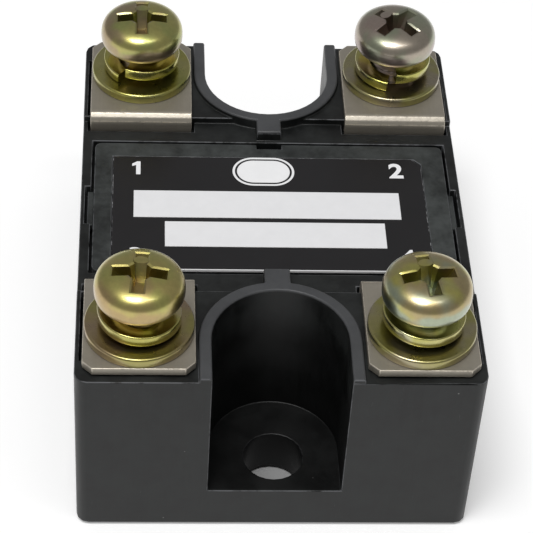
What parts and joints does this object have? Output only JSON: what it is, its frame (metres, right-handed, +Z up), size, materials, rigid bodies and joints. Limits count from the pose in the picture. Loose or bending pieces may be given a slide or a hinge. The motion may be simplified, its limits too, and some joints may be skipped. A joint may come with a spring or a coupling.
{
  "type": "solid state relay",
  "caption": "Low black block relay with a U notch and hole at each end, a lid with a label, and screw terminals on bent metal tabs, above a metal base plate.",
  "frame": {"origin": "middle of the base plate's mounting face", "axes": "+Z up from the mounting face, +Y along the length from the input terminals to the load terminals, +X to the right seen from the front"},
  "size_m": [0.045, 0.058, 0.034],
  "materials": {
    "case_plastic": "black glass-filled moulding, fine satin grain",
    "lid_plastic": "black moulding, slightly smoother than the case",
    "label_film": "black printed film on a white core",
    "marking_strip": "white writing strip, blank",
    "tab_nickel": "dull nickel plate on brass strip",
    "zinc_yellow": "yellow passivated zinc on steel",
    "nut_steel": "plain zinc-plated steel",
    "base_nickel": "nickel-plated aluminium plate",
    "ceramic_white": "white alumina",
    "copper_bare": "bare copper",
    "chip_silicon": "passivated silicon",
    "board_green": "green solder mask",
    "epoxy_black": "black moulded epoxy",
    "film_yellow": "yellow dipped film capacitor",
    "resistor_beige": "beige lacquer",
    "varistor_blue": "blue dipped coating"
  },
  "bodies": {
    "relay": {"case": "case_plastic", "base_plate": "base_nickel", "lid": "lid_plastic", "label_panel": "label_film", "upper_marking_strip": "marking_strip", "lower_marking_strip": "marking_strip", "terminal_1": "tab_nickel", "terminal_2": "tab_nickel", "terminal_3": "tab_nickel", "terminal_4": "tab_nickel", "captive_nut_1": "nut_steel", "captive_nut_2": "nut_steel", "captive_nut_3": "nut_steel", "captive_nut_4": "nut_steel", "ceramic_substrate": "ceramic_white", "copper_pad_left": "copper_bare", "thyristor_chip_left": "chip_silicon", "cathode_strap_left": "copper_bare", "gate_pin_left": "copper_bare", "copper_pad_right": "copper_bare", "thyristor_chip_right": "chip_silicon", "cathode_strap_right": "copper_bare", "gate_pin_right": "copper_bare", "control_board": "board_green", "optocoupler": "epoxy_black", "snubber_capacitor": "film_yellow", "snubber_resistor": "resistor_beige", "input_resistor": "resistor_beige", "input_transistor": "epoxy_black", "surge_varistor": "varistor_blue"},
    "washers_1": {"flat_washer_1": "zinc_yellow", "spring_washer_1": "zinc_yellow"},
    "screw_1": {"terminal_screw_1": "zinc_yellow"},
    "washers_2": {"flat_washer_2": "zinc_yellow", "spring_washer_2": "zinc_yellow"},
    "screw_2": {"terminal_screw_2": "zinc_yellow"},
    "washers_3": {"flat_washer_3": "zinc_yellow", "spring_washer_3": "zinc_yellow"},
    "screw_3": {"terminal_screw_3": "zinc_yellow"},
    "washers_4": {"flat_washer_4": "zinc_yellow", "spring_washer_4": "zinc_yellow"},
    "screw_4": {"terminal_screw_4": "zinc_yellow"}
  },
  "joints": [
    {"name": "screw_1_lift", "type": "slide", "parent": "relay", "child": "washers_1", "axis": [0, 0, 1], "range_m": [0, 0.0052]},
    {"name": "screw_1_turn", "type": "hinge", "parent": "washers_1", "child": "screw_1", "pos_m": [-0.0155, 0.022, 0.0303], "axis": [0, 0, 1], "range_deg": [0, 2340]},
    {"name": "screw_2_lift", "type": "slide", "parent": "relay", "child": "washers_2", "axis": [0, 0, 1], "range_m": [0, 0.0052]},
    {"name": "screw_2_turn", "type": "hinge", "parent": "washers_2", "child": "screw_2", "pos_m": [0.0155, 0.022, 0.0303], "axis": [0, 0, 1], "range_deg": [0, 2340]},
    {"name": "screw_3_lift", "type": "slide", "parent": "relay", "child": "washers_3", "axis": [0, 0, 1], "range_m": [0, 0.0052]},
    {"name": "screw_3_turn", "type": "hinge", "parent": "washers_3", "child": "screw_3", "pos_m": [-0.0155, -0.022, 0.0303], "axis": [0, 0, 1], "range_deg": [0, 2340]},
    {"name": "screw_4_lift", "type": "slide", "parent": "relay", "child": "washers_4", "axis": [0, 0, 1], "range_m": [0, 0.0052]},
    {"name": "screw_4_turn", "type": "hinge", "parent": "washers_4", "child": "screw_4", "pos_m": [0.0155, -0.022, 0.0303], "axis": [0, 0, 1], "range_deg": [0, 2340]}
  ],
  "couplings": [
    {"joint": "screw_1_turn", "follows": "screw_1_lift", "rad_per_m": 7854},
    {"joint": "screw_2_turn", "follows": "screw_2_lift", "rad_per_m": 7854},
    {"joint": "screw_3_turn", "follows": "screw_3_lift", "rad_per_m": 7854},
    {"joint": "screw_4_turn", "follows": "screw_4_lift", "rad_per_m": 7854}
  ]
}
